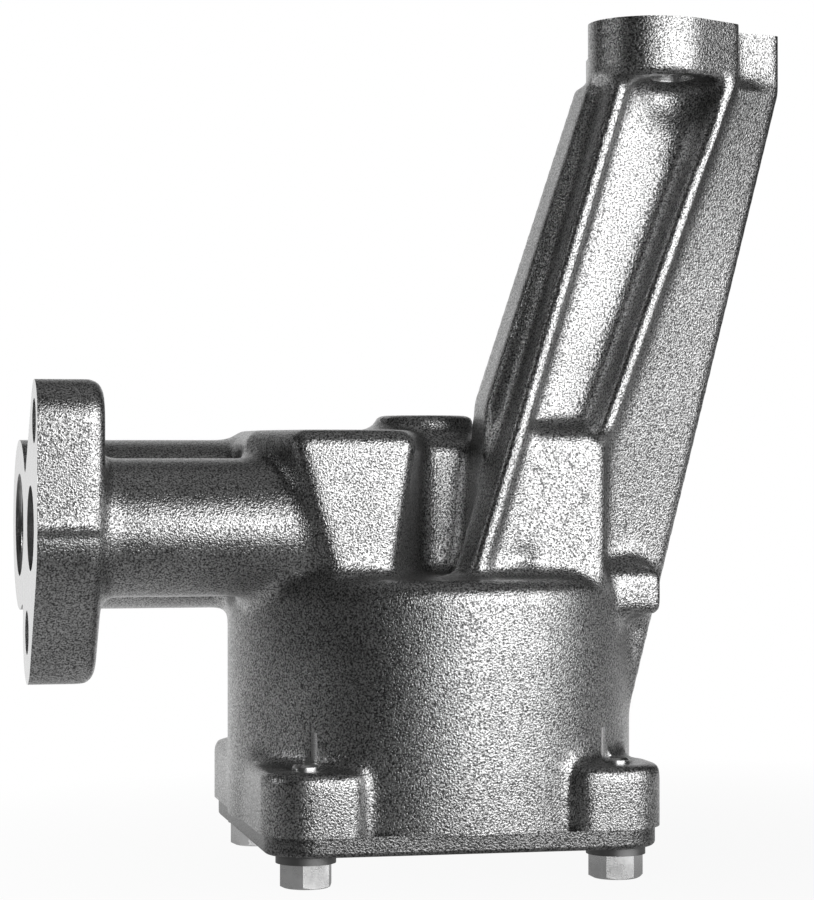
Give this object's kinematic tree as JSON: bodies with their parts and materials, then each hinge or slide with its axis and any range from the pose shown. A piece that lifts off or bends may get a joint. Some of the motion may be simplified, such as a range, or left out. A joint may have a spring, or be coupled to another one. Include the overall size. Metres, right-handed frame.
{
  "type": "engine oil pump",
  "caption": "Cast iron engine oil pump: round lobed-rotor body, side inlet neck with two-bolt flange and relief valve, leaning ribbed outlet leg up to its mounting pad.",
  "frame": {"origin": "centre of the outlet port on the mounting face", "axes": "+Z out of the mounting face, along the rotor shaft, with the pump hanging below; the inlet port opens towards -X; -Y is the side of the leg's ribs"},
  "size_m": [0.1799, 0.097, 0.1991],
  "materials": {
    "casting": "as cast, pebbled grain, machined faces bright",
    "cover_metal": "sheared plate, fine grain",
    "bolt_plating": "bright zinc plating",
    "washer_steel": "dark spring steel",
    "rotor_steel": "ground sintered steel",
    "shaft_steel": "ground steel",
    "spring_steel": "drawn spring wire",
    "plug_steel": "turned steel"
  },
  "bodies": {
    "housing": {"pump_housing": "casting", "cover_plate": "cover_metal", "cover_bolt_1": "bolt_plating", "cover_bolt_2": "bolt_plating", "cover_bolt_3": "bolt_plating", "cover_bolt_4": "bolt_plating", "lock_washer_1": "washer_steel", "lock_washer_2": "washer_steel", "lock_washer_3": "washer_steel", "lock_washer_4": "washer_steel", "relief_plug": "plug_steel", "relief_spring": "spring_steel"},
    "shaft": {"rotor_shaft": "shaft_steel", "rotor_pin": "shaft_steel", "inner_rotor": "rotor_steel"},
    "ring": {"outer_rotor": "rotor_steel"},
    "plunger": {"relief_plunger": "shaft_steel"}
  },
  "joints": [
    {"name": "shaft_spin", "type": "hinge", "parent": "housing", "child": "shaft", "pos_m": [-0.056, 0.007, -0.171], "axis": [0, 0, 1], "continuous": true},
    {"name": "ring_spin", "type": "hinge", "parent": "housing", "child": "ring", "pos_m": [-0.056, 0.002, -0.171], "axis": [0, 0, 1], "continuous": true},
    {"name": "relief_slide", "type": "slide", "parent": "housing", "child": "plunger", "axis": [-1, 0, 0], "range_m": [0, 0.02], "stiffness_N_per_m": 3000, "springref_m": -0.008, "deforming": ["relief_spring"]}
  ],
  "couplings": [
    {"joint": "ring_spin", "follows": "shaft_spin", "ratio": 0.8}
  ]
}
